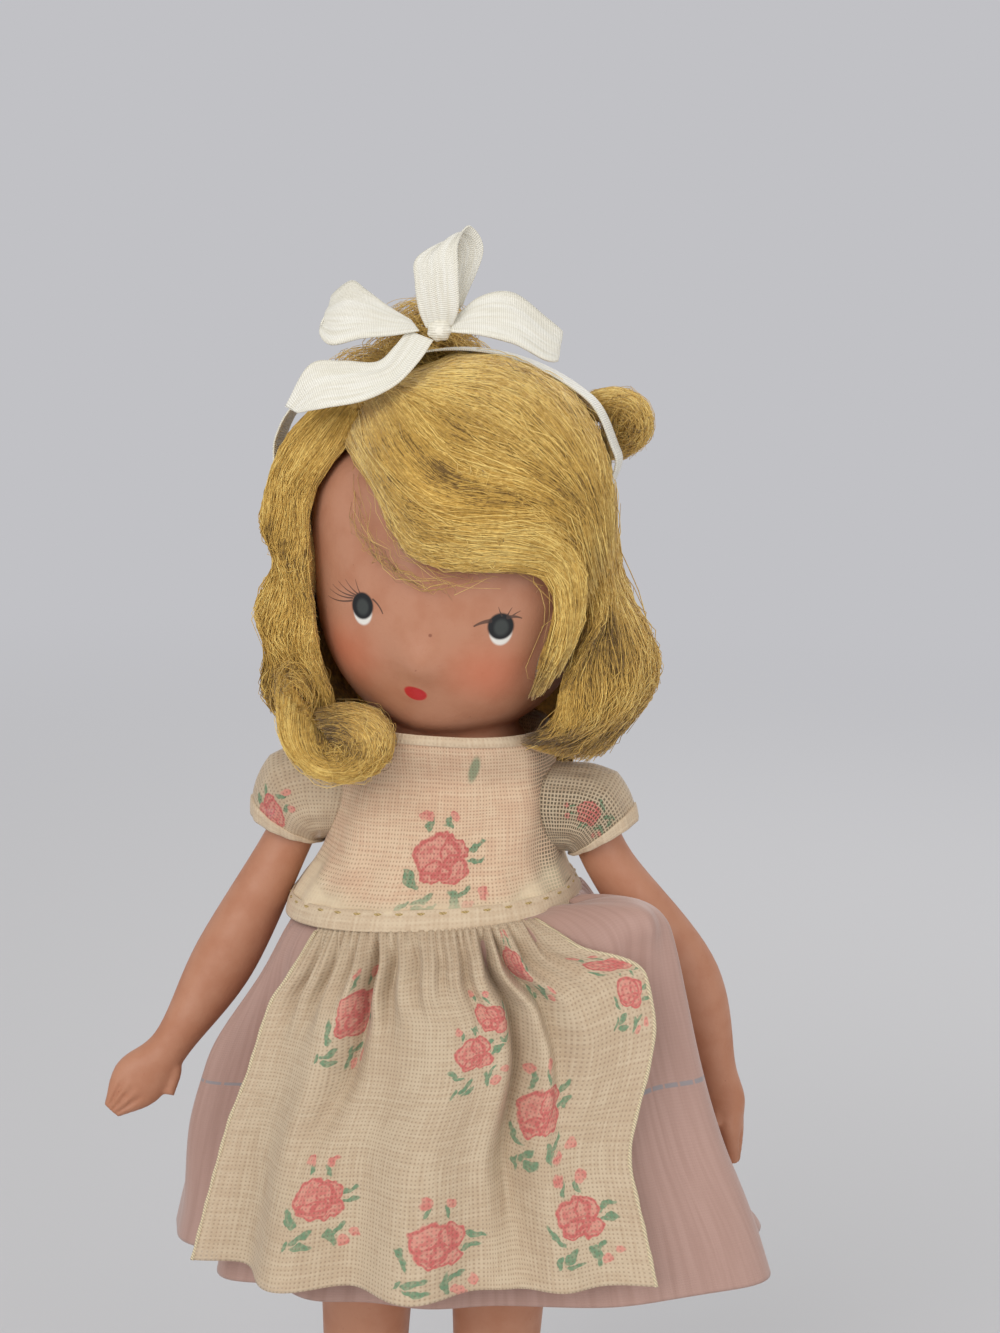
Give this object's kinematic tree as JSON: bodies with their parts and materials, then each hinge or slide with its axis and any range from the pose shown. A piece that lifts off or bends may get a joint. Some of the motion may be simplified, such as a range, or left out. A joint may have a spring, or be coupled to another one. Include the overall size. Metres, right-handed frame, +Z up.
{
  "type": "bisque doll",
  "caption": "Small standing bisque doll with strung swinging arms, blond mohair wig tied with a ribbon bow, sprigged organdy bodice and apron over a gathered skirt.",
  "frame": {"origin": "middle of the part's box at the level of the soles, on the floor between the two feet", "axes": "+Z up, the doll faces -Y, its own left side is at +X"},
  "size_m": [0.0632, 0.0531, 0.139],
  "materials": {
    "bisque": "unglazed tinted bisque with painted features",
    "elastic": "covered elastic cord",
    "lawn": "fine white cotton lawn",
    "organdy": "sheer open-weave cream organdy with a rose sprig print",
    "taffeta": "dusty pink silk with a soft sheen",
    "brass": "bright drawn wire",
    "netting": "stiffened wig gauze",
    "mohair": "combed blond mohair",
    "ribbon": "narrow ribbed cream silk ribbon"
  },
  "bodies": {
    "doll": {"body": "bisque", "arm_elastic": "elastic", "pantaloons": "lawn", "bodice": "organdy", "neck_binding": "organdy", "waistband": "organdy", "skirt": "taffeta", "apron": "organdy", "pin_wire": "brass", "pin_cap": "brass", "wig_cap": "netting", "crown_hair": "mohair", "front_wave": "mohair", "right_side_lock": "mohair", "right_curl": "mohair", "left_side_waves": "mohair", "back_hair": "mohair", "back_puff": "mohair", "ribbon_band": "ribbon", "bow_knot": "ribbon", "bow_right_loop": "ribbon", "bow_left_loop": "ribbon", "bow_top_loop": "ribbon", "bow_tail": "ribbon"},
    "right_arm": {"right_arm": "bisque", "right_sleeve": "organdy"},
    "left_arm": {"left_arm": "bisque", "left_sleeve": "organdy"}
  },
  "joints": [
    {"name": "right_shoulder", "type": "hinge", "parent": "doll", "child": "right_arm", "pos_m": [-0.0101, 0, 0.0845], "axis": [-1, 0, 0], "range_deg": [-50, 100]},
    {"name": "left_shoulder", "type": "hinge", "parent": "doll", "child": "left_arm", "pos_m": [0.0101, 0, 0.0845], "axis": [-1, 0, 0], "range_deg": [-50, 100]}
  ]
}
